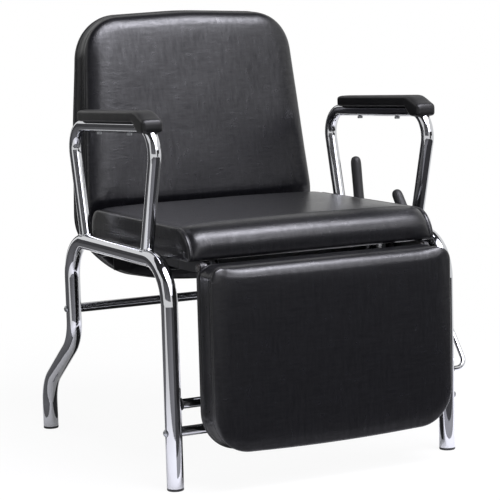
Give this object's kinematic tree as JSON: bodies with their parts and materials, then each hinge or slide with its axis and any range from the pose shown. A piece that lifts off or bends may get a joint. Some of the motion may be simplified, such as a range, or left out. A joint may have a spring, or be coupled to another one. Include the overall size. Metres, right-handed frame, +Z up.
{
  "type": "shampoo chair",
  "caption": "Reclining salon shampoo chair on a chromed bent-tube frame, with black vinyl seat, back, lever-lifted legrest and padded armrests.",
  "frame": {"origin": "on the floor, in the chair's mid-plane, midway between the front and the rear feet", "axes": "+Z up, -Y the way the sitter faces, +X to the sitter's left, where the two levers are"},
  "size_m": [0.6805, 0.751, 0.8848],
  "materials": {
    "chromed_tube": "bright chrome plate on bent steel tube",
    "chromed_rod": "bright chrome plate on bent steel rod",
    "plated_screws": "zinc plated steel fasteners and pins",
    "painted_steel": "satin black powder coat on pressed steel",
    "upholstery_vinyl": "black upholstery vinyl with a fine leather grain, sewn seams",
    "plywood": "plain plywood panel",
    "moulded_pad": "black self-skinned moulded polyurethane",
    "grip_rubber": "black dipped rubber grip",
    "foot_plastic": "black moulded plastic",
    "bush_nylon": "black moulded nylon"
  },
  "bodies": {
    "frame": {"side_frame_left": "chromed_tube", "side_frame_right": "chromed_tube", "arm_loop_left": "chromed_tube", "arm_loop_right": "chromed_tube", "armrest_pad_left": "moulded_pad", "armrest_pad_right": "moulded_pad", "armrest_screws": "plated_screws", "foot_cap_front_left": "foot_plastic", "foot_cap_front_right": "foot_plastic", "foot_cap_rear_left": "foot_plastic", "foot_cap_rear_right": "foot_plastic", "front_cross_bar": "chromed_tube", "rear_cross_bar": "chromed_tube", "cross_bar_screws": "plated_screws", "front_seat_bar": "chromed_tube", "rear_seat_bar": "chromed_tube", "seat_board": "plywood", "seat_screws": "plated_screws", "seat_cushion": "upholstery_vinyl", "seat_back_bracket_left": "painted_steel", "seat_back_bracket_right": "painted_steel", "back_pivot_bolts": "plated_screws", "legrest_bracket_left": "painted_steel", "legrest_bracket_right": "painted_steel", "legrest_pivot_bolts": "plated_screws", "shaft_bush_left": "bush_nylon", "shaft_bush_right": "bush_nylon", "lock_housing": "painted_steel", "lock_cheek_left": "painted_steel", "lock_cheek_right": "painted_steel"},
    "backrest": {"back_cushion": "upholstery_vinyl", "back_board": "plywood", "back_rear_panel": "upholstery_vinyl", "back_hinge_plate_left": "painted_steel", "back_hinge_plate_right": "painted_steel", "lock_arm": "painted_steel", "lock_pin": "plated_screws"},
    "lock_rod": {"lock_rod": "plated_screws"},
    "recline_lever": {"recline_lever_rod": "chromed_rod", "recline_lever_grip": "grip_rubber"},
    "legrest": {"legrest_cushion": "upholstery_vinyl", "legrest_board": "plywood", "legrest_hinge_arm_left": "painted_steel", "legrest_hinge_arm_right": "painted_steel", "legrest_horn_left": "painted_steel", "legrest_horn_right": "painted_steel", "horn_pins": "plated_screws"},
    "legrest_lever": {"legrest_lever_rod": "chromed_rod", "legrest_lever_grip": "grip_rubber", "legrest_shaft": "chromed_tube", "crank_left": "painted_steel", "crank_right": "painted_steel", "crank_pins": "plated_screws"},
    "lift_link_left": {"lift_link_left": "painted_steel"},
    "lift_link_right": {"lift_link_right": "painted_steel"}
  },
  "joints": [
    {"name": "back_recline", "type": "hinge", "parent": "frame", "child": "backrest", "pos_m": [0, 0.11, 0.408], "axis": [-1, 0, 0], "range_deg": [0, 40]},
    {"name": "lock_rod_slide", "type": "slide", "parent": "frame", "child": "lock_rod", "axis": [0, -0.9703, 0.2419], "range_m": [0, 0.042]},
    {"name": "recline_lever_pull", "type": "hinge", "parent": "frame", "child": "recline_lever", "pos_m": [0, 0.086, 0.396], "axis": [-1, 0, 0], "range_deg": [0, 12], "stiffness_Nm_per_rad": 4},
    {"name": "legrest_lift", "type": "hinge", "parent": "frame", "child": "legrest", "pos_m": [0, -0.338, 0.416], "axis": [-1, 0, 0], "range_deg": [0, 65]},
    {"name": "legrest_lever_swing", "type": "hinge", "parent": "frame", "child": "legrest_lever", "pos_m": [0, -0.32, 0.162], "axis": [-1, 0, 0], "range_deg": [0, 65]},
    {"name": "lift_link_left_swing", "type": "hinge", "parent": "legrest_lever", "child": "lift_link_left", "pos_m": [0.185, -0.265, 0.162], "axis": [-1, 0, 0], "range_deg": [-65, 0]},
    {"name": "lift_link_right_swing", "type": "hinge", "parent": "legrest_lever", "child": "lift_link_right", "pos_m": [-0.185, -0.265, 0.162], "axis": [-1, 0, 0], "range_deg": [-65, 0]}
  ],
  "couplings": [
    {"joint": "lock_rod_slide", "follows": "back_recline", "m_per_rad": 0.0584},
    {"joint": "legrest_lever_swing", "follows": "legrest_lift", "ratio": 1},
    {"joint": "lift_link_left_swing", "follows": "legrest_lift", "ratio": -1},
    {"joint": "lift_link_right_swing", "follows": "legrest_lift", "ratio": -1}
  ]
}
